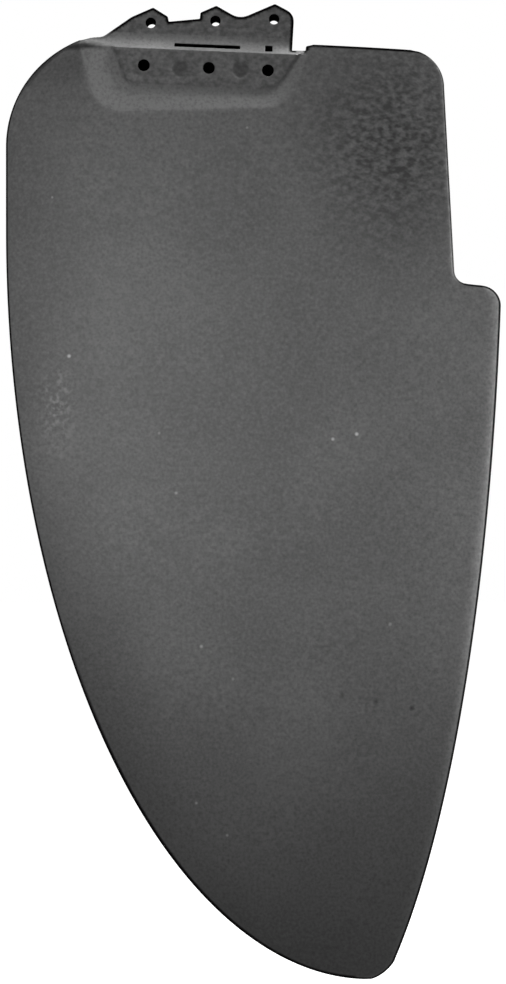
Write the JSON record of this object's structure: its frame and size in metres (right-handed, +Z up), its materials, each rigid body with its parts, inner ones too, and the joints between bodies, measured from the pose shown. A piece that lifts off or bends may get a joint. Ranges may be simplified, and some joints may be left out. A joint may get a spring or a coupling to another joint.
{
  "type": "rudder blade",
  "caption": "Moulded foil-shaped rudder blade with a stepped trailing edge, a scooped root with a flat bolting pad, and a thinner head flange with peaked bolt lugs.",
  "frame": {"origin": "axis of the middle lower bolt hole, on the blade's mid-plane", "axes": "+X aft towards the trailing edge, +Y to starboard, +Z up along the rudder; the blade hangs below the origin"},
  "size_m": [0.2846, 0.0264, 0.5584],
  "materials": {
    "moulded_plastic": "matte, finely grained, scuffed dark grey plastic"
  },
  "bodies": {
    "root": {"rudder_blade": "moulded_plastic"}
  },
  "joints": []
}
